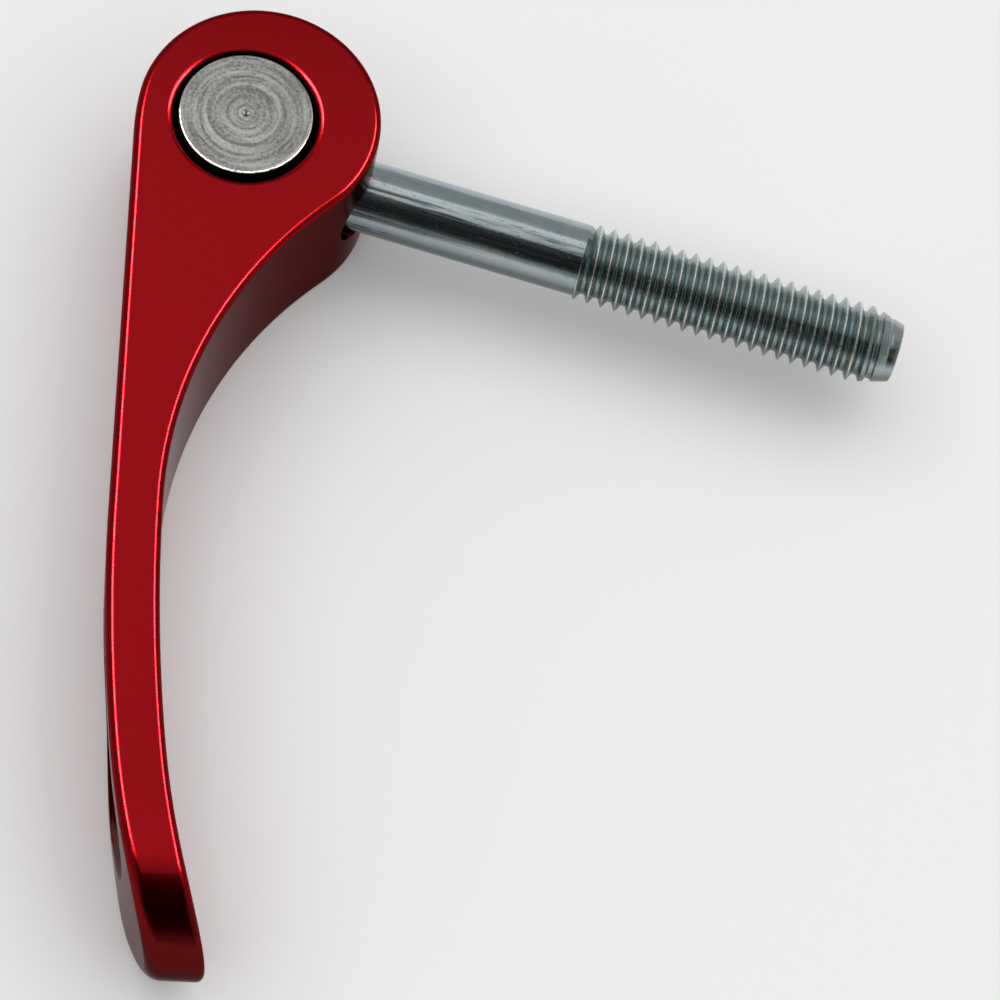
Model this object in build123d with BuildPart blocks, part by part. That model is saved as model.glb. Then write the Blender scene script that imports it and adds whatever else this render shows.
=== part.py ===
from build123d import *
import math
import os

# Cam clamping lever, closed, lying on one side face.
# +Z is the pivot axis, +X runs out along the stud and the lever arm points towards -Y.
# All lengths are in millimetres and all angles in degrees.

# --- driving dimensions ---------------------------------------------------------------
stud_major = 7.938          # 5/16 in thread, outside diameter
thread_pitch = 1.411        # 18 threads per inch
thread_length = 28.8        # at full diameter
tip_length = 3.6            # cone that the last two threads run out on
tip_diameter = 5.9
stud_reach = 67.9           # pivot axis to the free end of the stud

hub_diameter = 23.7
cam_offset = 1.35           # hub centre from the pivot axis, across the arm: makes the hub a cam
hub_setback = 0.3           # the same, along the arm and away from it
shoulder_radius = 25.0      # eases the flat outer face into the hub
lever_width = 18.0          # along the pivot axis
arm_angle = 76.2            # between stud and arm with the lever closed
arm_length = 83.4           # pivot axis to the tip, along the arm
outer_step = 0.2            # the arm's flat outer face stands this far outside the hub's circle
arm_thickness = 5.0
neck_radius = 42.0          # hollow between hub and arm
bend_lead = 0.8             # straight stretch of inner face between the neck and the bend
bend_radius = 168.0         # of the inner face, which the outer face runs parallel to
bend_length = 22.5          # measured along the arm; from there to the tip it bends more
curl_radius = 82.0
rim_radius = 0.85           # rounding along both rims of the lever

barrel_diameter = 13.0
barrel_stick_out = 0.4      # barrel above the lever's upper side face
barrel_chamfer = 0.3
pivot_clearance = 0.05      # radial, barrel in its bore
mouth_radius = 1.2          # rounded mouths of the bore

opening_angle = 105.0       # travel from closed to fully open
slot_spare_angle = 2.5      # free travel left at each end of the slot
slot_clearance = 0.3        # radial, stud thread through the slot

recess_depth = 0.5
recess_width = 11.0
recess_start = 46.0         # measured along the arm
recess_end = 74.5

# --- derived dimensions ---------------------------------------------------------------
hub_radius = hub_diameter / 2
barrel_radius = barrel_diameter / 2
bore_radius = barrel_radius + pivot_clearance
barrel_length = lever_width + barrel_stick_out
stud_height = lever_width / 2
slot_radius = stud_major / 2 + slot_clearance
pitch_diameter = stud_major - 0.6495 * thread_pitch
shank_radius = (pitch_diameter + 0.2) / 2
thread_end = stud_reach - tip_length
thread_start = thread_end - thread_length
seat_floor = -0.6 * barrel_radius       # the blind hole in the barrel ends here
outer_face = cam_offset - hub_radius - outer_step
inner_face = outer_face + arm_thickness

# Arm coordinates: local x runs along the arm, local y from the outer face to the hollow.
arm_direction = Vector(1, 0, 0).rotate(Axis.Z, -arm_angle)
arm_plane = Plane(origin=(0, 0, 0), x_dir=arm_direction, z_dir=(0, 0, 1))

# Looking at the outer face: local x still runs along the arm, local y down the pivot axis.
face_plane = Plane(
    origin=arm_plane.from_local_coords(Vector(0, outer_face - 5, 0)),
    x_dir=arm_direction,
    z_dir=arm_plane.y_dir,
)
mid_width = -lever_width / 2

# The neck arc touches both the hub circle and the flat inner face of the arm.
hub_centre = Vector(-hub_setback, cam_offset)
neck_y = inner_face + neck_radius
neck_x = math.sqrt((hub_radius + neck_radius) ** 2 - (neck_y - cam_offset) ** 2) - hub_setback
neck_centre = Vector(neck_x, neck_y)
to_neck = (neck_centre - hub_centre).normalized()
to_neck_end = Vector(0, -1)
neck_middle = (to_neck_end - to_neck).normalized()

# The shoulder arc touches the flat outer face and, from outside, the hub circle.
shoulder_y = outer_face + shoulder_radius
shoulder_x = math.sqrt((shoulder_radius - hub_radius) ** 2 - (shoulder_y - cam_offset) ** 2) - hub_setback
shoulder_centre = Vector(shoulder_x, shoulder_y)
from_shoulder = (hub_centre - shoulder_centre).normalized()

# The arm bends round one centre and then, more tightly, round a second one.
bend_start = neck_x + bend_lead
past_tip = arm_length + 2   # the rounded tip alone ends the arm
bend_centre = Vector(bend_start, inner_face + bend_radius)
bend_angle = math.asin(bend_length / bend_radius)
curl_direction = Vector(math.cos(bend_angle), math.sin(bend_angle))
to_curl = Vector(math.sin(bend_angle), -math.cos(bend_angle))
curl_centre = bend_centre + to_curl * (bend_radius - curl_radius)


def arm_face(depth):
    """Start, curl point and end of the arm's outer face, or of a line at some depth under it."""
    reach = curl_radius + arm_thickness - depth
    rise = math.sqrt(reach**2 - (past_tip - curl_centre.X) ** 2)
    return (
        Vector(bend_start, outer_face + depth),
        curl_centre + to_curl * reach,
        Vector(past_tip, curl_centre.Y - rise),
    )


outer_line = arm_face(0)
inner_line = arm_face(arm_thickness)
recess_floor = arm_face(recess_depth)

# --- cutter for the shallow recess: a long round-ended slot down to its curved floor -----
with BuildPart() as recess:
    with BuildSketch(face_plane):
        with Locations(((recess_start + recess_end) / 2, mid_width)):
            SlotOverall(recess_end - recess_start, recess_width)
    extrude(amount=arm_thickness + 10)
    with BuildSketch(arm_plane):
        with BuildLine():
            TangentArc(recess_floor[0], recess_floor[1], tangent=(1, 0))
            TangentArc(recess_floor[1], recess_floor[2], tangent=curl_direction)
            Polyline(recess_floor[2], (past_tip, hub_radius), (bend_start, hub_radius), recess_floor[0])
        make_face()
    extrude(amount=lever_width, mode=Mode.SUBTRACT)

# --- lever: one piece, eccentric hub and curved arm --------------------------------------
with BuildPart() as lever:
    with BuildSketch(arm_plane):
        with BuildLine():
            TangentArc((shoulder_x, outer_face), hub_centre + from_shoulder * hub_radius, tangent=(-1, 0))
            ThreePointArc(
                hub_centre + from_shoulder * hub_radius,
                hub_centre - Vector(hub_radius, 0),
                hub_centre + to_neck * hub_radius,
            )
            ThreePointArc(
                hub_centre + to_neck * hub_radius,
                neck_centre + neck_middle * neck_radius,
                (neck_x, inner_face),
            )
            Line((neck_x, inner_face), inner_line[0])
            TangentArc(inner_line[0], inner_line[1], tangent=(1, 0))
            TangentArc(inner_line[1], inner_line[2], tangent=curl_direction)
            Line(inner_line[2], outer_line[2])
            TangentArc(outer_line[1], outer_line[2], tangent=curl_direction)
            TangentArc(outer_line[0], outer_line[1], tangent=(1, 0))
            Line(outer_line[0], (shoulder_x, outer_face))
        make_face()
    extrude(amount=lever_width)

    # Seen from the outer face the arm ends in a half circle.
    with BuildSketch(face_plane):
        tip_centre = arm_length - lever_width / 2
        with Locations(((tip_centre - hub_diameter) / 2, mid_width)):
            Rectangle(tip_centre + hub_diameter, lever_width)
        with Locations((tip_centre, mid_width)):
            Circle(lever_width / 2)
    extrude(amount=3 * hub_diameter, mode=Mode.INTERSECT)

    # Both rims run round the whole lever; the joins along Z and across the tip stay as they are.
    across_tip = Axis((0, 0, 0), arm_plane.y_dir)
    rims = lever.edges().filter_by(Axis.Z, reverse=True).filter_by(across_tip, reverse=True)
    fillet(rims, radius=rim_radius)

    # Bore for the barrel, with rounded mouths.
    with Locations((0, 0, lever_width / 2)):
        Cylinder(bore_radius, lever_width, mode=Mode.SUBTRACT)
    mouths = lever.edges().filter_by(GeomType.CIRCLE).filter_by(
        lambda edge: abs(edge.radius - bore_radius) < 1e-4
    )
    fillet(mouths, radius=mouth_radius)

    # Slot for the stud: a band swept round the pivot, with a round end at each limit.
    slot_reach = hub_radius + cam_offset + 2
    closed_limit = Vector(1, 0, 0).rotate(Axis.Z, -slot_spare_angle)
    slot_start = Plane(
        origin=(0, 0, stud_height), x_dir=closed_limit, z_dir=closed_limit.cross(Vector(0, 0, 1))
    )
    slot_sweep = opening_angle + 2 * slot_spare_angle
    with BuildSketch(slot_start):
        with Locations((slot_reach / 2, 0)):
            Rectangle(slot_reach, 2 * slot_radius)
    revolve(axis=Axis.Z, revolution_arc=slot_sweep, mode=Mode.SUBTRACT)
    for limit in (-slot_spare_angle, opening_angle + slot_spare_angle):
        limit_direction = Vector(1, 0, 0).rotate(Axis.Z, limit)
        with BuildSketch(Plane(origin=(0, 0, stud_height), z_dir=limit_direction)):
            Circle(slot_radius)
        extrude(amount=slot_reach, mode=Mode.SUBTRACT)

    add(recess.part, mode=Mode.SUBTRACT)
lever.part.label = "lever"

# --- barrel: turned pin that the lever swings on, cross-drilled for the stud --------------
with BuildPart() as barrel_pin:
    with Locations((0, 0, barrel_length / 2)):
        Cylinder(barrel_radius, barrel_length)
    chamfer(barrel_pin.edges().filter_by(GeomType.CIRCLE), length=barrel_chamfer)
    with BuildSketch(Plane(origin=(seat_floor, 0, stud_height), z_dir=(1, 0, 0))):
        Circle(shank_radius)
    extrude(amount=2 * barrel_radius, mode=Mode.SUBTRACT)
barrel_pin.part.label = "barrel_pin"

# --- stud: plain shank seated in the barrel, rolled thread left as a plain cylinder --------
with BuildPart() as threaded_stud:
    with BuildSketch(Plane(origin=(0, 0, stud_height), x_dir=(1, 0, 0), z_dir=(0, -1, 0))):
        with BuildLine():
            Polyline(
                (seat_floor, 0),
                (seat_floor, shank_radius),
                (thread_start, shank_radius),
                (thread_start + (stud_major / 2 - shank_radius), stud_major / 2),
                (thread_end, stud_major / 2),
                (stud_reach, tip_diameter / 2),
                (stud_reach, 0),
                close=True,
            )
        make_face()
    revolve(axis=Axis((0, 0, stud_height), (1, 0, 0)))
threaded_stud.part.label = "threaded_stud"

os.makedirs("parts", exist_ok=True)
export_step(lever.part, "parts/lever.step")
export_step(barrel_pin.part, "parts/barrel_pin.step")
export_step(threaded_stud.part, "parts/threaded_stud.step")
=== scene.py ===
import math
import bmesh
import bpy
from mathutils import Matrix, Vector


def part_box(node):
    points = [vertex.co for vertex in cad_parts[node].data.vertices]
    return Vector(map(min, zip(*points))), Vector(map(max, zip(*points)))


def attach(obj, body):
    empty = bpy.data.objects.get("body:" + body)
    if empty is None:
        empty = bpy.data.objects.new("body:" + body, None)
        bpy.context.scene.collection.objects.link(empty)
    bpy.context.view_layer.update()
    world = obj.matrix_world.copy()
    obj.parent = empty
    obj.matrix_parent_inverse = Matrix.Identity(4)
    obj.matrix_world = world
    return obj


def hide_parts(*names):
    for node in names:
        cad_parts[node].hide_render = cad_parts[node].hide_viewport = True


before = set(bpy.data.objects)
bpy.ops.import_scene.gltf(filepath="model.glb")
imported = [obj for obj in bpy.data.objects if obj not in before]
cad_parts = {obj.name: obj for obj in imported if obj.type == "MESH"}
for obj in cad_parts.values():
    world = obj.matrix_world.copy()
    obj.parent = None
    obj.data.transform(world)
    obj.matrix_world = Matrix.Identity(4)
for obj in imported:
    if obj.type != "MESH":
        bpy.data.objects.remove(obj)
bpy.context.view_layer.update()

leverLow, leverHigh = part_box("lever")
barrelLow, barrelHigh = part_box("barrel_pin")
studLow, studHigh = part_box("threaded_stud")
leverWidth = leverHigh.z - leverLow.z
leverMiddle = (leverLow.z + leverHigh.z) / 2
pivotHeight = (studLow.z + studHigh.z) / 2      # the stud's axis
print("frame loaded:", sorted(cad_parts))


# modelling helpers

def clearSelection():
    if bpy.context.object and bpy.context.object.mode != "OBJECT":
        bpy.ops.object.mode_set(mode="OBJECT")
    bpy.ops.object.select_all(action="DESELECT")


def makeActive(piece):
    clearSelection()
    piece.select_set(True)
    bpy.context.view_layer.objects.active = piece


def selectWhole(piece):
    makeActive(piece)
    bpy.ops.object.mode_set(mode="EDIT")
    bpy.ops.mesh.select_all(action="SELECT")


def applyModifier(piece, kind, **settings):
    makeActive(piece)
    modifier = piece.modifiers.new(kind.lower(), kind)
    for name, value in settings.items():
        setattr(modifier, name, value)
    bpy.ops.object.modifier_apply(modifier=modifier.name)


def drawProfile(name, points, plane="XZ", level=0):
    # one vertex, then an extrude for each further corner
    corners = [(x, level, y) if plane == "XZ" else (x, y, level) for x, y in points]
    clearSelection()
    bpy.ops.mesh.primitive_plane_add(size=0.001, location=(0, 0, 0))
    piece = bpy.context.object
    piece.name = name
    bpy.ops.object.mode_set(mode="EDIT")
    bpy.ops.mesh.select_all(action="SELECT")
    bpy.ops.mesh.merge(type="CENTER")
    bpy.ops.transform.translate(value=corners[0])
    for before, after in zip(corners, corners[1:]):
        step = [end - start for start, end in zip(before, after)]
        bpy.ops.mesh.extrude_region_move(TRANSFORM_OT_translate={"value": step})
    bpy.ops.object.mode_set(mode="OBJECT")
    return piece


def tidyMesh(piece, sharpAngle, distance=1e-7):
    selectWhole(piece)
    bpy.ops.mesh.remove_doubles(threshold=distance)
    bpy.ops.mesh.normals_make_consistent(inside=False)
    bpy.ops.object.mode_set(mode="OBJECT")
    bpy.ops.object.shade_smooth_by_angle(angle=math.radians(sharpAngle))


def closeEnds(piece):
    # each open rim is drawn in to its own middle
    makeActive(piece)
    bpy.ops.object.mode_set(mode="EDIT")
    bpy.ops.mesh.select_mode(type="EDGE")
    bpy.ops.mesh.select_all(action="DESELECT")
    bpy.ops.mesh.select_non_manifold(extend=False, use_wire=False, use_multi_face=False,
                                     use_non_contiguous=False, use_verts=False)
    bpy.ops.mesh.extrude_region_move()
    bpy.ops.mesh.merge(type="COLLAPSE")
    bpy.ops.mesh.select_mode(type="VERT")
    bpy.ops.object.mode_set(mode="OBJECT")


def combine(piece, other, operation):
    applyModifier(piece, "BOOLEAN", operation=operation, solver="EXACT", object=other)
    bpy.data.objects.remove(other)


def lathe(piece, axis, steps, **settings):
    # a full turn of a drawn profile, or a helix when a screw offset is given
    applyModifier(piece, "SCREW", axis=axis, angle=math.radians(360), steps=steps, render_steps=steps,
                  use_merge_vertices=True, merge_threshold=1e-7, **settings)


# node helpers

def newMaterial(name):
    material = bpy.data.materials.new(name)
    material.use_nodes = True
    nodes = material.node_tree.nodes
    nodes.clear()
    output = nodes.new("ShaderNodeOutputMaterial")
    shader = nodes.new("ShaderNodeBsdfPrincipled")
    material.node_tree.links.new(shader.outputs["BSDF"], output.inputs["Surface"])
    return material, material.node_tree, shader


def feed(tree, socket, value):
    # a link where the value comes from a node, and a plain value otherwise
    if isinstance(value, bpy.types.NodeSocket):
        tree.links.new(value, socket)
    elif isinstance(value, (tuple, list)):
        socket.default_value = (*value, 1) if len(socket.default_value) == 4 else value
    else:
        socket.default_value = value


def calculate(tree, operation, *values):
    node = tree.nodes.new("ShaderNodeMath")
    node.operation = operation
    for socket, value in zip(node.inputs, values):
        feed(tree, socket, value)
    return node.outputs["Value"]


def mapRange(tree, value, fromLow, fromHigh, toLow, toHigh):
    node = tree.nodes.new("ShaderNodeMapRange")
    for socket, given in zip(node.inputs, (value, fromLow, fromHigh, toLow, toHigh)):
        feed(tree, socket, given)
    return node.outputs["Result"]


def splitVector(tree, vector):
    node = tree.nodes.new("ShaderNodeSeparateXYZ")
    tree.links.new(vector, node.inputs["Vector"])
    return node.outputs


def readPlace(tree, kind):
    return tree.nodes.new("ShaderNodeTexCoord").outputs[kind]


def distanceOf(tree, first, second):
    squares = calculate(tree, "ADD", calculate(tree, "POWER", first, 2), calculate(tree, "POWER", second, 2))
    return calculate(tree, "POWER", squares, 0.5)


def addBump(tree, shader, height, strength, distance):
    bump = tree.nodes.new("ShaderNodeBump")
    bump.inputs["Strength"].default_value = strength
    bump.inputs["Distance"].default_value = distance
    tree.links.new(height, bump.inputs["Height"])
    tree.links.new(bump.outputs["Normal"], shader.inputs["Normal"])


def mixColours(tree, share, first, second):
    node = tree.nodes.new("ShaderNodeMix")
    node.data_type = "RGBA"
    feed(tree, node.inputs["Factor"], share)
    feed(tree, node.inputs[6], first)       # the node's sockets for colours
    feed(tree, node.inputs[7], second)
    return node.outputs[2]


def fineGrain():
    # an even noise that can be turned and stretched; every finish here uses it
    name = "fineGrain"
    if name in bpy.data.node_groups:
        return bpy.data.node_groups[name]
    group = bpy.data.node_groups.new(name, "ShaderNodeTree")
    group.interface.new_socket("Place", in_out="INPUT", socket_type="NodeSocketVector")
    group.interface.new_socket("Turn", in_out="INPUT", socket_type="NodeSocketVector")
    group.interface.new_socket("Stretch", in_out="INPUT", socket_type="NodeSocketVector")
    group.interface.new_socket("Detail", in_out="INPUT", socket_type="NodeSocketFloat")
    group.interface.new_socket("Grain", in_out="OUTPUT", socket_type="NodeSocketFloat")
    given = group.nodes.new("NodeGroupInput")
    result = group.nodes.new("NodeGroupOutput")
    turned = group.nodes.new("ShaderNodeMapping")
    stretched = group.nodes.new("ShaderNodeVectorMath")
    stretched.operation = "MULTIPLY"
    noise = group.nodes.new("ShaderNodeTexNoise")
    noise.inputs["Scale"].default_value = 1
    noise.inputs["Roughness"].default_value = 0.6
    group.links.new(given.outputs["Place"], turned.inputs["Vector"])
    group.links.new(given.outputs["Turn"], turned.inputs["Rotation"])
    group.links.new(turned.outputs["Vector"], stretched.inputs[0])
    group.links.new(given.outputs["Stretch"], stretched.inputs[1])
    group.links.new(stretched.outputs["Vector"], noise.inputs["Vector"])
    group.links.new(given.outputs["Detail"], noise.inputs["Detail"])
    group.links.new(noise.outputs["Fac"], result.inputs["Grain"])
    return group


def addGrain(tree, place, stretch, detail, turn=0):
    node = tree.nodes.new("ShaderNodeGroup")
    node.node_tree = fineGrain()
    tree.links.new(place, node.inputs["Place"])
    node.inputs["Turn"].default_value = (0, 0, -turn)
    node.inputs["Stretch"].default_value = stretch
    node.inputs["Detail"].default_value = detail
    return node.outputs["Grain"]


def giveMaterial(piece, material):
    piece.data.materials.clear()
    piece.data.materials.append(material)


# anodised lever

leverSettings = {
    "armAngle": -76.2,            # the arm's direction from +X, closed
    "hubRadius": 0.01185,
    "hubCentre": (-0.0003, 0.00135),
    "outerFace": -0.0107,
    "thickness": 0.005,
    "neckRadius": 0.042,
    "shoulderRadius": 0.025,
    "reach": 0.0834,
    "bendLead": 0.0008,
    "bendRadius": 0.168,          # inner face
    "bendLength": 0.0225,
    "curlRadius": 0.082,
    "rimRadius": 0.0012,          # the widest rounding, at the grip's outer rim
    "outerRim": 0.708,            # shares of it
    "innerRim": 0.6,
    "innerTipRim": 0.75,
    "rimGrows": (0.069, 0.08),    # where along the arm the rounding grows
    "boreRadius": 0.00655,
    "mouthRadius": 0.0012,
    "slotRadius": 0.004269,
    "slotFrom": -2.5,
    "slotTo": 107.5,
    "recess": {"from": 0.046, "to": 0.0745, "width": 0.011, "depth": 0.0005, "slope": 0.0016},
    "edgeBreak": 0.00016,
    # how far the outer face's lower rim leans in, where along the arm, and over what length
    "leans": ((0.00045, 0.057, 0.0085), (-0.00024, 0.0775, 0.0045)),
    "bendFrom": 0.04,
    "bendCuts": 22,
    "tipCuts": 9,
    "tipCutReach": 0.0089,
    "tipSegments": 30,
    "finish": {
        "colour": (0.212, 0.0013, 0.0032),
        "spread": 0.14,                       # how far the grain lightens and darkens it
        "wall": (0.14, 0.045, 0.046),         # painted sheen: walls and the rims' outer parts get a paler, darker red, standing in for their grazing reflection
        "paintedSheenFacing": (0.22, 0.08),
        "paintedShade": (0.02, 0.004, 0.004),       # painted shade, deep in the gap round the barrel, inside the slot and towards the grip's end
        "edgeTint": (0.42, 0.3, 0.3),
        "roughness": 0.18,
        "roughnessSpread": 0.006,
        "tipWorn": (0.068, 0.079),            # where along the arm the finish gets duller
        "tipRoughness": 0.225,
        # painted shade towards the grip's end, standing in for its dark reflection
        "tipShaded": (0.0765, 0.0825),
        "tipShade": 0.55,
        "gapDepth": (0.00006, 0.00022),       # below the side face
        "gapRadius": (0.0079, 0.0077),
        "slotDepth": (0.0001, 0.0004),        # inside the hub's wall
        "slotEdge": 0.0003,
        "grain": (4200, 5200, 5200),          # to the metre
        "bump": 0.05,
        "bumpHeight": 0.00002,
        "coat": 0.088,
        "coatRoughness": 0.09,
    },
}


armAngle = math.radians(leverSettings["armAngle"])
alongArm = Vector((math.cos(armAngle), math.sin(armAngle), 0))
acrossArm = Vector((-alongArm.y, alongArm.x, 0))


def arcPoints(centre, radius, start, end, steps):
    # points round an arc, without its first one
    points = []
    for step in range(1, steps + 1):
        angle = math.radians(start + (end - start) * step / steps)
        points.append((centre[0] + radius * math.cos(angle), centre[1] + radius * math.sin(angle)))
    return points


def neckCentre():
    s = leverSettings
    y = s["outerFace"] + s["thickness"] + s["neckRadius"]
    reach = s["hubRadius"] + s["neckRadius"]
    x = s["hubCentre"][0] + math.sqrt(reach ** 2 - (y - s["hubCentre"][1]) ** 2)
    return (x, y)


def leverOutline():
    # seen from above with the arm still straight, along +X
    s = leverSettings
    hub, neck = s["hubCentre"], neckCentre()
    shoulderY = s["outerFace"] + s["shoulderRadius"]
    drop = s["shoulderRadius"] - s["hubRadius"]
    shoulder = (hub[0] + math.sqrt(drop ** 2 - (shoulderY - hub[1]) ** 2), shoulderY)
    toHub = math.degrees(math.atan2(hub[1] - shoulder[1], hub[0] - shoulder[0]))
    toNeck = math.degrees(math.atan2(neck[1] - hub[1], neck[0] - hub[0]))
    points = [(s["reach"], s["outerFace"]), (shoulder[0], s["outerFace"])]
    points += arcPoints(shoulder, s["shoulderRadius"], -90, toHub, 5)
    points += arcPoints(hub, s["hubRadius"], toHub, toNeck - 360, 84)
    points += arcPoints(neck, s["neckRadius"], toNeck - 180, -90, 26)
    points.append((s["reach"], s["outerFace"] + s["thickness"]))
    return points


def bisectAcross(piece, places):
    # cuts all the way round the arm
    makeActive(piece)
    bpy.ops.object.mode_set(mode="EDIT")
    for place in places:
        bpy.ops.mesh.select_all(action="SELECT")
        bpy.ops.mesh.bisect(plane_co=(place, 0, 0), plane_no=(1, 0, 0))
    bpy.ops.object.mode_set(mode="OBJECT")


def smoothStep(low, crestHighlight, value):
    share = min(max((value - low) / (crestHighlight - low), 0), 1)
    return share * share * (3 - 2 * share)


def weighEdges(piece, weightOf):
    # each edge's share of the bevel that comes next
    mesh = bmesh.new()
    mesh.from_mesh(piece.data)
    layers = mesh.edges.layers.float
    layer = layers.get("bevel_weight_edge") or layers.new("bevel_weight_edge")
    for edge in mesh.edges:
        middle = (edge.verts[0].co + edge.verts[1].co) / 2
        sharp = len(edge.link_faces) == 2 and edge.calc_face_angle() > math.radians(35)
        edge[layer] = weightOf(middle) if sharp else 0
    mesh.to_mesh(piece.data)
    mesh.free()


def rimWeight(middle):
    s = leverSettings
    grown = smoothStep(*s["rimGrows"], middle.x)
    outer = s["outerRim"] + (1 - s["outerRim"]) * grown
    inner = s["innerRim"] + (s["innerTipRim"] - s["innerRim"]) * grown
    across = smoothStep(s["outerFace"] + 0.001, s["outerFace"] + 0.0048, middle.y)
    return outer + (inner - outer) * across


def cutEdgeWeight(middle):
    # the recess round its top and the slot where it leaves the hub
    s = leverSettings
    onFace = abs(middle.y - s["outerFace"]) < 1e-5 and middle.x > s["recess"]["from"] - 0.001
    fromHub = math.hypot(middle.x - s["hubCentre"][0], middle.y - s["hubCentre"][1])
    onHub = abs(fromHub - s["hubRadius"]) < 4e-5 or middle.y < s["outerFace"] + 0.0008
    return 1 if onFace or (onHub and abs(middle.z - leverMiddle) < s["slotRadius"] + 1e-4) else 0


def cutRecess(lever):
    # a shallow scoop with sloping walls; the cutter's slope runs on as far outside the face
    r = leverSettings["recess"]
    face = leverSettings["outerFace"]
    middle = (r["from"] + r["to"]) / 2
    clearSelection()
    bpy.ops.mesh.primitive_cone_add(vertices=64, radius1=r["width"] / 2 - r["slope"],
                                    radius2=r["width"] / 2 + r["slope"], depth=2 * r["depth"],
                                    location=(middle, face, leverMiddle), rotation=(math.radians(90), 0, 0))
    cutter = bpy.context.object
    bpy.ops.object.transform_apply(location=True, rotation=True, scale=True)
    spread = (r["to"] - r["from"] - r["width"]) / 2
    for vertex in cutter.data.vertices:
        vertex.co.x += spread if vertex.co.x > middle else -spread
    combine(lever, cutter, "DIFFERENCE")


def cutBore(lever):
    s = leverSettings
    over = 0.0005
    radius, mouth = s["boreRadius"], s["mouthRadius"]
    top, bottom = leverHigh.z, leverLow.z
    upper = arcPoints((radius + mouth, top - mouth), mouth, 180, 100, 7)
    slope = math.tan(math.radians(10))
    flare = (upper[-1][0] + (top + over - upper[-1][1]) / slope, top + over)
    half = [(radius, top - mouth)] + upper + [flare]
    lower = [(x, top + bottom - z) for x, z in half]
    outline = [(0, bottom - over)] + lower[::-1] + half + [(0, top + over)]
    cutter = drawProfile("boreCutter", outline)
    lathe(cutter, "Z", 128)
    tidyMesh(cutter, 35)
    combine(lever, cutter, "DIFFERENCE")


def cutSlot(lever):
    # a band swept round the pivot, with a round end at each limit of the stud's travel
    s = leverSettings
    reach = 0.02
    start = s["slotFrom"] - s["armAngle"]
    end = s["slotTo"] - s["armAngle"]
    outline = [(0, 0)] + arcPoints((0, 0), reach, start - 1e-6, end, 40)
    outline.insert(1, (reach * math.cos(math.radians(start)), reach * math.sin(math.radians(start))))
    cutter = drawProfile("slotCutter", outline, "XY", leverMiddle - s["slotRadius"])
    fillAndExtrude(cutter, 2 * s["slotRadius"])
    combine(lever, cutter, "DIFFERENCE")
    for limit in (start, end):
        angle = math.radians(limit)
        clearSelection()
        bpy.ops.mesh.primitive_cylinder_add(
            vertices=72, radius=s["slotRadius"], depth=reach,
            location=(reach / 2 * math.cos(angle), reach / 2 * math.sin(angle), leverMiddle),
            rotation=(0, math.radians(90), angle))
        combine(lever, bpy.context.object, "DIFFERENCE")


def fillAndExtrude(piece, height):
    selectWhole(piece)
    bpy.ops.mesh.edge_face_add()
    bpy.ops.mesh.extrude_region_move(TRANSFORM_OT_translate={"value": (0, 0, height)})
    bpy.ops.mesh.select_all(action="SELECT")
    bpy.ops.mesh.normals_make_consistent(inside=False)
    bpy.ops.object.mode_set(mode="OBJECT")


def roundTip(piece):
    # the end's upper and lower edges are rounded until they meet halfway
    s = leverSettings
    makeActive(piece)
    bpy.ops.object.mode_set(mode="EDIT")
    bpy.ops.mesh.select_mode(type="EDGE")
    bpy.ops.mesh.select_all(action="DESELECT")
    bpy.ops.object.mode_set(mode="OBJECT")
    for edge in piece.data.edges:
        ends = [piece.data.vertices[index].co for index in edge.vertices]
        atEnd = all(abs(end.x - s["reach"]) < 1e-6 for end in ends)
        edge.select = atEnd and abs(ends[0].z - ends[1].z) < 1e-6
    bpy.ops.object.mode_set(mode="EDIT")
    bpy.ops.mesh.bevel(offset=leverWidth / 2 - 1e-6, segments=s["tipSegments"], affect="EDGES",
                       clamp_overlap=False)
    bpy.ops.mesh.select_mode(type="VERT")
    bpy.ops.mesh.select_all(action="SELECT")
    bpy.ops.mesh.remove_doubles(threshold=5e-6)
    bpy.ops.object.mode_set(mode="OBJECT")


def armFace(place, depth):
    # the outer face's line, or one at some depth under it, on a gentle bend and then a tighter one
    s = leverSettings
    start = neckCentre()[0] + s["bendLead"]
    turn = math.asin(s["bendLength"] / s["bendRadius"])
    inner = s["outerFace"] + s["thickness"]
    step = s["bendRadius"] - s["curlRadius"]
    radius = s["curlRadius"] + s["thickness"] - depth
    switch = start + math.sin(turn) * (step + radius)
    if place <= start:
        return s["outerFace"] + depth
    if place <= switch:
        return inner + s["bendRadius"] - math.sqrt((step + radius) ** 2 - (place - start) ** 2)
    curlX = start + math.sin(turn) * step
    curlY = inner + s["bendRadius"] - math.cos(turn) * step
    return curlY - math.sqrt(radius ** 2 - (place - curlX) ** 2)


def bendArm(piece):
    s = leverSettings
    for vertex in piece.data.vertices:
        place = vertex.co
        if place.x < s["bendFrom"]:
            continue
        depth = place.y - s["outerFace"]
        share = depth / s["thickness"]
        outer, inner = armFace(place.x, 0), armFace(place.x, s["thickness"])
        lean = sum(most * math.exp(-((place.x - at) / length) ** 2) for most, at, length in s["leans"])
        place.y = outer + (inner - outer) * share + lean * (1 - place.z / leverWidth) * (1 - share)


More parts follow.
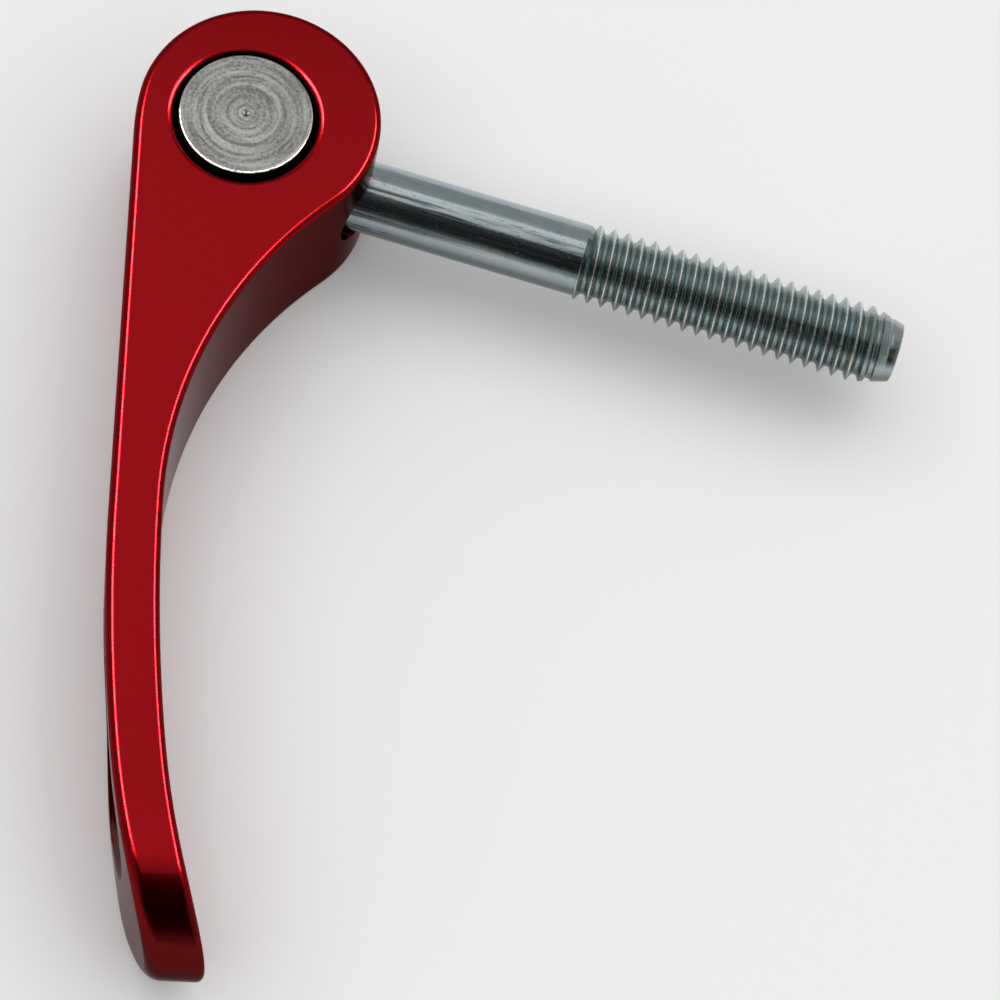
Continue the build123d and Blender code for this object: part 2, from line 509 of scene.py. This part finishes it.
def makeLever():
    s = leverSettings
    lever = drawProfile("camLever", leverOutline(), "XY", leverLow.z)
    fillAndExtrude(lever, leverWidth)
    roundTip(lever)
    tipStart = s["reach"] - leverHigh.z / 2
    bendStart = neckCentre()[0] + s["bendLead"]
    cuts = s["bendCuts"]
    bisectAcross(lever, [bendStart + (tipStart - bendStart) * step / cuts for step in range(1, cuts)])
    weighEdges(lever, rimWeight)
    applyModifier(lever, "BEVEL", limit_method="WEIGHT", width=s["rimRadius"], segments=7,
                  use_clamp_overlap=False)
    cutRecess(lever)
    cutBore(lever)
    cutSlot(lever)
    weighEdges(lever, cutEdgeWeight)
    applyModifier(lever, "BEVEL", limit_method="WEIGHT", width=s["edgeBreak"], segments=2,
                  use_clamp_overlap=False)
    bisectAcross(lever, [tipStart + s["tipCutReach"] * step / s["tipCuts"] for step in range(s["tipCuts"])])
    bendArm(lever)
    selectWhole(lever)
    bpy.ops.transform.rotate(value=math.radians(-s["armAngle"]), orient_axis="Z", center_override=(0, 0, 0))
    bpy.ops.object.mode_set(mode="OBJECT")
    tidyMesh(lever, 32)
    applyModifier(lever, "WEIGHTED_NORMAL", keep_sharp=True, weight=80)
    return lever


def hiddenFaces(tree, parts):
    # a mask of what no light reaches
    s = leverSettings
    look = s["finish"]
    fromMiddle = calculate(tree, "ABSOLUTE", calculate(tree, "SUBTRACT", parts["Z"], leverMiddle))
    # the gap: near the pivot axis and below either side face
    depth = calculate(tree, "SUBTRACT", leverHigh.z - leverMiddle, fromMiddle)
    near = mapRange(tree, distanceOf(tree, parts["X"], parts["Y"]), *look["gapRadius"], 0, 1)
    deep = mapRange(tree, depth, *look["gapDepth"], 0, 1)
    # the slot: under the hub's wall and between the slot's two faces
    hub = alongArm * s["hubCentre"][0] + acrossArm * s["hubCentre"][1]
    fromHub = distanceOf(tree, calculate(tree, "SUBTRACT", parts["X"], hub.x),
                         calculate(tree, "SUBTRACT", parts["Y"], hub.y))
    shallow, far = look["slotDepth"]
    under = mapRange(tree, fromHub, s["hubRadius"] - shallow, s["hubRadius"] - far, 0, 1)
    between = mapRange(tree, fromMiddle, s["slotRadius"] + look["slotEdge"], s["slotRadius"], 0, 1)
    return calculate(tree, "MAXIMUM", calculate(tree, "MULTIPLY", near, deep),
                     calculate(tree, "MULTIPLY", under, between))


def anodisedRed():
    s = leverSettings["finish"]
    material, tree, shader = newMaterial("anodisedRed")
    place = readPlace(tree, "Object")
    parts = splitVector(tree, place)
    along = calculate(tree, "ADD", calculate(tree, "MULTIPLY", parts["X"], alongArm.x),
                      calculate(tree, "MULTIPLY", parts["Y"], alongArm.y))
    # the tumbled finish: a faint even grain, a little longer along the arm
    grain = addGrain(tree, place, s["grain"], 3, armAngle)
    colour = mixColours(tree, grain, [c * (1 - s["spread"]) for c in s["colour"]],
                        [c * (1 + s["spread"]) for c in s["colour"]])
    # painted sheen on the walls, by how far a face turns from the side faces
    facing = splitVector(tree, readPlace(tree, "Normal"))["Z"]
    paintedSheenShare = mapRange(tree, calculate(tree, "ABSOLUTE", facing), *s["paintedSheenFacing"], 0, 1)
    colour = mixColours(tree, paintedSheenShare, colour, s["wall"])
    # painted shade towards the grip's end
    colour = mixColours(tree, mapRange(tree, along, *s["tipShaded"], 0, s["tipShade"]), colour, s["paintedShade"])
    # painted shade in the gap round the barrel and inside the slot
    colour = mixColours(tree, hiddenFaces(tree, parts), colour, s["paintedShade"])
    tree.links.new(colour, shader.inputs["Base Color"])
    rough = mapRange(tree, along, *s["tipWorn"], s["roughness"], s["tipRoughness"])
    spread = s["roughnessSpread"]
    rough = calculate(tree, "ADD", rough, mapRange(tree, grain, 0.3, 0.7, -spread, spread))
    tree.links.new(rough, shader.inputs["Roughness"])
    addBump(tree, shader, grain, s["bump"], s["bumpHeight"])
    shader.inputs["Metallic"].default_value = 1
    shader.inputs["Specular Tint"].default_value = (*s["edgeTint"], 1)
    shader.inputs["Coat Weight"].default_value = s["coat"]
    shader.inputs["Coat Roughness"].default_value = s["coatRoughness"]
    return material


# turned steel barrel

barrelSettings = {
    "radius": 0.0065,
    "edgeBreak": 0.00016,
    "pipRadius": 0.00036,
    "pipDepth": 0.0002,
    "grooves": (0.0011, 0.0017, 0.0024, 0.0031, 0.0042, 0.0051),    # the turning tool's deeper lines
    "grooveDepth": 0.000004,
    "grooveWidth": 0.00016,
    "segments": 160,
    "finish": {
        "dark": (0.06, 0.0596, 0.0573),
        "light": (0.158, 0.1565, 0.15),
        "stained": (0.115, 0.12, 0.108),
        "scratched": (0.24, 0.237, 0.23),
        "pitsAndPaintedShade": (0.03, 0.02, 0.018),        # painted shade on the barrel's side in its bore and in the pip, and the colour of the small dark pits
        # the painted highlight's colour on the rim
        "edge": (0.9, 0.9, 0.88),
        "roughness": (0.3, 0.44),
        "wornRoughness": 0.2,
        "ringPitch": 2600,                  # rings to the metre, roughly
        "ringWander": 160,
        "ringShare": 0.62,
        "rim": (0.0002, 0.00012),           # the painted highlight's inner side, from the barrel's edge
        "highlightSide": (0.0012, -0.0008),       # where across the face the painted highlight on the rim starts
        "side": (0.00003, 0.00001),
        "bump": 0.5,
        "bumpHeight": 0.00002,
    },
}


def turnBarrel():
    s = barrelSettings
    bottom, top = barrelLow.z, barrelHigh.z
    edge, half = s["edgeBreak"], s["grooveWidth"] / 2
    face = [(0, top - s["pipDepth"]), (s["pipRadius"], top)]
    for radius in s["grooves"]:
        face += [(radius - half, top), (radius, top - s["grooveDepth"]), (radius + half, top)]
    rim = [(s["radius"] - edge, top), (s["radius"] - 0.3 * edge, top - 0.3 * edge), (s["radius"], top - edge)]
    foot = [(s["radius"], bottom + edge), (s["radius"] - edge, bottom), (0, bottom)]
    barrel = drawProfile("barrelPin", face + rim + foot)
    lathe(barrel, "Z", s["segments"])
    tidyMesh(barrel, 12)
    return barrel


def addRings(tree, parts, fromAxis):
    # a noise that changes quickly with the radius and slowly round the axis
    s = barrelSettings["finish"]
    ringPlace = tree.nodes.new("ShaderNodeCombineXYZ")
    tree.links.new(calculate(tree, "MULTIPLY", fromAxis, s["ringPitch"]), ringPlace.inputs["X"])
    tree.links.new(calculate(tree, "MULTIPLY", parts["X"], s["ringWander"]), ringPlace.inputs["Y"])
    tree.links.new(calculate(tree, "MULTIPLY", parts["Y"], s["ringWander"]), ringPlace.inputs["Z"])
    rings = tree.nodes.new("ShaderNodeTexNoise")
    rings.inputs["Scale"].default_value = 1
    rings.inputs["Detail"].default_value = 5
    rings.inputs["Roughness"].default_value = 0.65
    tree.links.new(ringPlace.outputs["Vector"], rings.inputs["Vector"])
    return rings.outputs["Fac"]


def turnedSteel():
    s = barrelSettings["finish"]
    radius = barrelSettings["radius"]
    material, tree, shader = newMaterial("turnedSteel")
    place = readPlace(tree, "Object")
    parts = splitVector(tree, place)
    fromAxis = distanceOf(tree, parts["X"], parts["Y"])
    grain = addGrain(tree, place, (3200, 3200, 3200), 5, 0.5)
    clouds = addGrain(tree, place, (260, 340, 300), 2, 0.9)
    scratches = addGrain(tree, place, (500, 9000, 5000), 3, 0.7)
    specks = addGrain(tree, place, (4200, 5200, 4200), 2)
    rings = addRings(tree, parts, fromAxis)
    shade = calculate(tree, "ADD", calculate(tree, "MULTIPLY", rings, s["ringShare"]),
                      calculate(tree, "MULTIPLY", grain, 1 - s["ringShare"]))
    metal = mixColours(tree, mapRange(tree, shade, 0.42, 0.58, 0, 1), s["dark"], s["light"])
    metal = mixColours(tree, mapRange(tree, clouds, 0.35, 0.65, 0, 0.35), metal, s["stained"])
    metal = mixColours(tree, mapRange(tree, scratches, 0.66, 0.72, 0, 0.5), metal, s["scratched"])
    metal = mixColours(tree, mapRange(tree, specks, 0.68, 0.74, 0, 0.8), metal, s["pitsAndPaintedShade"])
    # painted highlight on the rim's lower side, where its edge break catches the light; the rim is also
    # rougher there
    rim = mapRange(tree, fromAxis, radius - s["rim"][0], radius - s["rim"][1], 0, 1)
    uneven = calculate(tree, "ADD", parts["Y"], calculate(tree, "MULTIPLY", grain, 0.004))
    highlightSide = mapRange(tree, uneven, *s["highlightSide"], 0, 1)
    rimHighlightAndWear = calculate(tree, "MULTIPLY", calculate(tree, "MULTIPLY", rim, highlightSide),
                     mapRange(tree, grain, 0.4, 0.5, 0.3, 1))
    metal = mixColours(tree, rimHighlightAndWear, metal, s["edge"])
    # painted shade on the barrel's side down in the bore and in the pip
    side = mapRange(tree, fromAxis, radius - s["side"][0], radius - s["side"][1], 0, 1)
    pip = mapRange(tree, fromAxis, barrelSettings["pipRadius"], 0.0001, 0, 0.9)
    metal = mixColours(tree, calculate(tree, "MAXIMUM", side, pip), metal, s["pitsAndPaintedShade"])
    tree.links.new(metal, shader.inputs["Base Color"])
    rough = mapRange(tree, shade, 0.3, 0.7, *s["roughness"])
    rough = calculate(tree, "ADD", rough, calculate(tree, "MULTIPLY", rimHighlightAndWear, s["wornRoughness"]))
    tree.links.new(rough, shader.inputs["Roughness"])
    addBump(tree, shader, shade, s["bump"], s["bumpHeight"])
    shader.inputs["Metallic"].default_value = 1
    return material


# zinc-plated stud with its rolled thread

studSettings = {
    "majorRadius": 0.003969,
    "rootRadius": 0.0032,
    "pitch": 0.001411,
    "crestFlat": 0.00009,
    "shankRadius": 0.003611,
    "threadStart": 0.0353,
    "runOut": 0.0009,        # the first groove climbs out over this length
    "coneSlope": 0.28,
    "endRadius": 0.00296,
    "crestAt": 0.038994,     # a crest's place along the stud on its +Y side
    "turnSteps": 64,
    "finish": {
        "blue": (0.33, 0.43, 0.46),
        "grey": (0.42, 0.46, 0.47),
        "yellow": (0.44, 0.46, 0.34),     # passivation tint, mostly in the thread
        # painted highlight on the crests and painted shade in the roots
        "crest": (0.85, 0.9, 0.86),
        "root": (0.26, 0.36, 0.36),
        "crestBand": (0.00012, 0.00003),  # below the crest
        "rootBand": (0.00045, 0.00005),   # above the root
        "flank": 0.95,                    # the thread's brightness against the shank
        "stain": (0.05, 0.055, 0.055),
        "cone": 0.0024,                   # the tip's plain cone is this long
        "streakAt": -0.00105,             # a long dark line along the shank, this far to the -Y side on top
        "streakWidth": (0.0006, 0.0003),
        "under": 0.4,                     # painted shade: how much of its brightness the underside keeps
        "shadedUnderFacing": (0.05, 0.4),
        "roughness": 0.13,
        "threadRoughness": 0.22,
        "bump": 0.35,
        "bumpHeight": 0.00003,
        "pitDepth": 2.5,
    },
}


def rollThread():
    s = studSettings
    half = s["pitch"] / 2
    crest = s["crestFlat"] / 2
    flank = (s["majorRadius"] - s["rootRadius"]) * math.tan(math.radians(30))
    root = half - crest - flank
    points = [
        (0, s["rootRadius"] - 0.00002),
        (root * 0.6, s["rootRadius"]),
        (root * 1.25, s["rootRadius"] + 0.00008),
        (half - crest * 1.9, s["majorRadius"] - 0.00005),
        (half - crest * 0.6, s["majorRadius"]),
        (half + crest * 0.6, s["majorRadius"]),
        (half + crest * 1.9, s["majorRadius"] - 0.00005),
        (s["pitch"] - root * 1.25, s["rootRadius"] + 0.00008),
        (s["pitch"] - root * 0.6, s["rootRadius"]),
        (s["pitch"], s["rootRadius"] - 0.00002),
    ]
    thread = drawProfile("thread", points)
    turns = math.ceil((studHigh.x - s["threadStart"]) / s["pitch"]) + 4
    lathe(thread, "X", s["turnSteps"], screw_offset=s["pitch"], iterations=turns)
    tidyMesh(thread, 60)
    closeEnds(thread)
    # the profile was drawn with its crest on +Z; a quarter turn back along the helix is the +Y side
    firstCrest = half - s["pitch"] / 4
    shift = (s["crestAt"] - firstCrest) % s["pitch"]
    start = s["threadStart"] - 2 * s["pitch"]
    shift += math.floor((start - shift) / s["pitch"]) * s["pitch"]
    selectWhole(thread)
    bpy.ops.transform.translate(value=(shift, 0, 0))
    bpy.ops.mesh.normals_make_consistent(inside=False)
    bpy.ops.object.mode_set(mode="OBJECT")
    return thread


def turnBlank(name, points):
    piece = drawProfile(name, points)
    lathe(piece, "X", studSettings["turnSteps"] * 2)
    tidyMesh(piece, 35)
    return piece


def makeStud():
    s = studSettings
    thread = rollThread()
    over = s["majorRadius"] + 0.0002
    start, end = s["threadStart"], studHigh.x
    coneBack = end - (over - s["endRadius"]) / s["coneSlope"]
    # the thread is kept where it lies inside a blank with a coned end
    blank = turnBlank("blank", [
        (start, 0), (start, over), (coneBack, over), (end - 0.00008, s["endRadius"] + 0.00001),
        (end, s["endRadius"] - 0.0001), (end, 0)])
    combine(thread, blank, "INTERSECT")
    shank = turnBlank("threadedStud", [
        (studLow.x, 0), (studLow.x, s["shankRadius"]), (start + 0.00002, s["shankRadius"]),
        (start + s["runOut"], s["rootRadius"] - 0.0001), (start + s["runOut"], 0)])
    combine(shank, thread, "UNION")
    selectWhole(shank)
    bpy.ops.transform.translate(value=(0, 0, pivotHeight))
    bpy.ops.object.mode_set(mode="OBJECT")
    tidyMesh(shank, 40, 1e-6)
    return shank


def zincPlated():
    s = studSettings["finish"]
    material, tree, shader = newMaterial("zincPlated")
    place = readPlace(tree, "Object")
    parts = splitVector(tree, place)
    start, coneStart = studSettings["threadStart"], studHigh.x - s["cone"]
    inThread = mapRange(tree, parts["X"], start - 0.0004, start + 0.0004, 0, 1)
    beforeCone = mapRange(tree, parts["X"], coneStart - 0.0001, coneStart + 0.0001, 1, 0)
    onThread = calculate(tree, "MULTIPLY", inThread, beforeCone)
    clouds = addGrain(tree, place, (330, 420, 420), 3)
    patches = addGrain(tree, place, (700, 900, 900), 2)
    streaks = addGrain(tree, place, (90, 2600, 2600), 5)
    specks = addGrain(tree, place, (4200, 5200, 5200), 2)
    zinc = mixColours(tree, mapRange(tree, clouds, 0.38, 0.62, 0, 1), s["blue"], s["grey"])
    tint = calculate(tree, "MULTIPLY", mapRange(tree, patches, 0.45, 0.68, 0, 1),
                     calculate(tree, "ADD", 0.15, calculate(tree, "MULTIPLY", inThread, 0.75)))
    zinc = mixColours(tree, tint, zinc, s["yellow"])
    # painted highlight on the crests, and painted shade, tinted teal, in the roots
    fromAxis = distanceOf(tree, calculate(tree, "SUBTRACT", parts["Z"], pivotHeight), parts["Y"])
    root, crest = studSettings["rootRadius"], studSettings["majorRadius"]
    low = mapRange(tree, fromAxis, root + s["rootBand"][0], root + s["rootBand"][1], 0, 0.85)
    crestHighlight = mapRange(tree, fromAxis, crest - s["crestBand"][0], crest - s["crestBand"][1], 0, 0.8)
    zinc = mixColours(tree, mapRange(tree, onThread, 0, 1, 1, s["flank"]), (0, 0, 0), zinc)
    zinc = mixColours(tree, calculate(tree, "MULTIPLY", low, onThread), zinc, s["root"])
    zinc = mixColours(tree, calculate(tree, "MULTIPLY", crestHighlight, onThread), zinc, s["crest"])
    # drawn streaks along the shank, a long dark line along its top, and small dark pits
    broken = calculate(tree, "MULTIPLY", mapRange(tree, streaks, 0.60, 0.69, 0, 0.8),
                       mapRange(tree, patches, 0.4, 0.55, 0, 1))
    offStreak = calculate(tree, "ABSOLUTE", calculate(tree, "SUBTRACT", parts["Y"], s["streakAt"]))
    streak = calculate(tree, "MULTIPLY", mapRange(tree, offStreak, *s["streakWidth"], 0, 1),
                       mapRange(tree, streaks, 0.44, 0.52, 0, 0.9))
    streak = calculate(tree, "MULTIPLY", calculate(tree, "MAXIMUM", broken, streak),
                       calculate(tree, "SUBTRACT", 1, inThread))
    pits = mapRange(tree, specks, 0.68, 0.74, 0, 0.9)
    zinc = mixColours(tree, calculate(tree, "MAXIMUM", streak, pits), zinc, s["stain"])
    # painted shade: the underside is darker
    facing = splitVector(tree, readPlace(tree, "Normal"))["Z"]
    zinc = mixColours(tree, mapRange(tree, facing, *s["shadedUnderFacing"], s["under"], 1), (0, 0, 0), zinc)
    tree.links.new(zinc, shader.inputs["Base Color"])
    rough = mapRange(tree, inThread, 0, 1, s["roughness"], s["threadRoughness"])
    rough = calculate(tree, "ADD", rough, mapRange(tree, streaks, 0.4, 0.62, 0, 0.14))
    tree.links.new(rough, shader.inputs["Roughness"])
    height = calculate(tree, "ADD", calculate(tree, "MULTIPLY", streaks, 0.5),
                       calculate(tree, "MULTIPLY", specks, 0.5))
    height = calculate(tree, "SUBTRACT", height, calculate(tree, "MULTIPLY", pits, s["pitDepth"]))
    addBump(tree, shader, height, s["bump"], s["bumpHeight"])
    shader.inputs["Metallic"].default_value = 1
    return material


barrel = turnBarrel()
giveMaterial(barrel, turnedSteel())
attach(barrel, "pin_and_stud")
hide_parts("barrel_pin")
print("barrel turned:", len(barrel.data.polygons), "faces")

stud = makeStud()
giveMaterial(stud, zincPlated())
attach(stud, "pin_and_stud")
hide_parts("threaded_stud")
print("stud threaded:", len(stud.data.polygons), "faces")

lever = makeLever()
giveMaterial(lever, anodisedRed())
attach(lever, "lever")
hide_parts("lever")
print("lever shaped:", len(lever.data.polygons), "faces")


# floor, lights and camera

stageSettings = {
    "floorSize": 6,
    "floorColour": (0.88, 0.88, 0.88),
    "worldBack": 0.42,          # past the object, as seen from the camera
    "worldFront": 0.02,
    "worldLow": 0.34,           # near the horizon all round
    "worldSides": 0.5,
    "worldFade": (-0.1, 0.5),   # where these change, as parts of a direction
    "worldHorizon": (0.29, 0.15),
    "worldBeside": (0.42, 0.75),
    "lightHeight": 0.6,
    "lens": 122.4,
    "cameraPlace": (0.029588, -0.159005, 0.308407),
    "cameraTurn": (22.660, -7.233, 14.815),
}

# each light's place across the arm and its reach along it
# the strips draw the bright lines along the rims, and the wings beside them soften these
# the panel fades out towards the grip's end, and the sheet overhead lights the floor evenly
lights = {
    "leftStrip": {"across": -0.275, "from": -0.38, "to": -0.04, "width": 0.14, "radiance": 50, "onRims": 1},
    "leftWing": {"across": -0.18, "from": -0.38, "to": -0.02, "width": 0.09, "radiance": 5, "onRims": 1},
    "rightStrip": {"across": 0.385, "from": -0.38, "to": -0.04, "width": 0.14, "radiance": 50, "onRims": 1},
    "rightWing": {"across": 0.28, "from": -0.38, "to": -0.02, "width": 0.11, "radiance": 5, "onRims": 1},
    "panel": {"across": 0.04, "from": -0.36, "to": 0.13, "width": 0.35, "radiance": 0.74},
    "fadeOne": {"across": 0.04, "from": 0.13, "to": 0.155, "width": 0.35, "radiance": 0.5},
    "fadeTwo": {"across": 0.04, "from": 0.155, "to": 0.18, "width": 0.35, "radiance": 0.26},
    "fadeThree": {"across": 0.04, "from": 0.18, "to": 0.205, "width": 0.35, "radiance": 0.1},
    "sheet": {"across": 0, "from": -1.1, "to": 1.1, "width": 2.2, "radiance": 1.25, "height": 1.1,
              "onFloor": 1},
}


def layFloor():
    clearSelection()
    bpy.ops.mesh.primitive_grid_add(x_subdivisions=8, y_subdivisions=8, size=stageSettings["floorSize"],
                                    location=(0, 0, 0))
    floor = bpy.context.object
    floor.name = "floor"
    material, tree, shader = newMaterial("paleFloor")
    shader.inputs["Base Color"].default_value = (*stageSettings["floorColour"], 1)
    shader.inputs["Roughness"].default_value = 0.9
    shader.inputs["Specular IOR Level"].default_value = 0.1
    giveMaterial(floor, material)


def hangLight(name, settings, rimmed):
    length = settings["to"] - settings["from"]
    middle = (settings["to"] + settings["from"]) / 2
    height = settings.get("height", stageSettings["lightHeight"])
    place = alongArm * middle + acrossArm * settings["across"] + Vector((0, 0, height))
    data = bpy.data.lights.new(name, "AREA")
    data.shape = "RECTANGLE"
    data.size = length
    data.size_y = settings["width"]
    # an area light's radiance is its power over pi times its area
    data.energy = settings["radiance"] * math.pi * length * settings["width"]
    light = bpy.data.objects.new(name, data)
    bpy.context.scene.collection.objects.link(light)
    light.matrix_world = (Matrix.Translation(place)
                          @ Matrix((alongArm, acrossArm, Vector((0, 0, 1)))).transposed().to_4x4())
    # one light is for the floor, and the others show in the metal
    light.visible_diffuse = "onFloor" in settings
    light.visible_glossy = "onFloor" not in settings
    if "onRims" in settings:
        light.light_linking.receiver_collection = rimmed


def setWorld():
    # soft walls at both sides and behind, and a dark room on the camera's side
    s = stageSettings
    world = bpy.data.worlds.new("studio")
    bpy.context.scene.world = world
    world.use_nodes = True
    tree = world.node_tree
    parts = splitVector(tree, readPlace(tree, "Generated"))
    behind = mapRange(tree, parts["Y"], *s["worldFade"], s["worldFront"], s["worldBack"])
    low = mapRange(tree, parts["Z"], *s["worldHorizon"], 0, 1)
    behind = calculate(tree, "MAXIMUM", behind, calculate(tree, "MULTIPLY", low, s["worldLow"]))
    beside = mapRange(tree, calculate(tree, "ABSOLUTE", parts["X"]), *s["worldBeside"], 0, 1)
    elsewhere = calculate(tree, "MULTIPLY", behind, calculate(tree, "SUBTRACT", 1, beside))
    light = calculate(tree, "ADD", elsewhere, calculate(tree, "MULTIPLY", beside, s["worldSides"]))
    background = tree.nodes["Background"]
    tree.links.new(light, background.inputs["Color"])
    background.inputs["Strength"].default_value = 1


def placeCamera():
    data = bpy.data.cameras.new("camera")
    data.lens = stageSettings["lens"]
    data.sensor_width = 36
    data.clip_start = 0.01
    data.clip_end = 20
    camera = bpy.data.objects.new("camera", data)
    bpy.context.scene.collection.objects.link(camera)
    camera.location = stageSettings["cameraPlace"]
    camera.rotation_euler = [math.radians(angle) for angle in stageSettings["cameraTurn"]]
    bpy.context.scene.camera = camera


layFloor()
rimmed = bpy.data.collections.new("rimmed")
for piece in (lever, barrel):
    rimmed.objects.link(piece)
for name, settings in lights.items():
    hangLight(name, settings, rimmed)
setWorld()
placeCamera()
bpy.context.scene.view_settings.view_transform = "Standard"
print("stage set")
